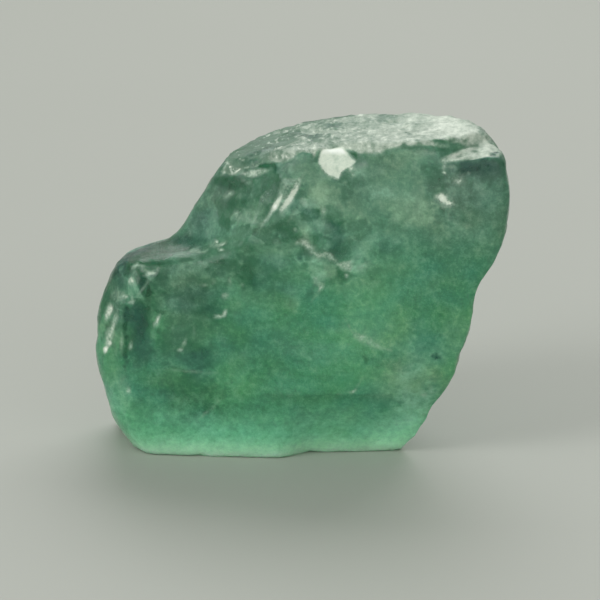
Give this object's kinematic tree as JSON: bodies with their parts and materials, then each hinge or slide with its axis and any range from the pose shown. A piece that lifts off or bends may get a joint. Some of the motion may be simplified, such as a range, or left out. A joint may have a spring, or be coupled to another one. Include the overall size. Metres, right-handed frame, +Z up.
{
  "type": "rough fluorite specimen",
  "caption": "Rough lump of milky green translucent fluorite, broken on every side and flat below, that stands on its own base for display.",
  "frame": {"origin": "under the middle of the lump's bounding box, on the surface that it stands on", "axes": "+Z up; +X along the broad side, to the right of someone who faces it; +Y to the back"},
  "size_m": [0.0406, 0.024, 0.0333],
  "materials": {
    "fluorite": "milky translucent green, waxy broken faces, frosted on top"
  },
  "bodies": {
    "root": {"fluorite": "fluorite"}
  },
  "joints": []
}
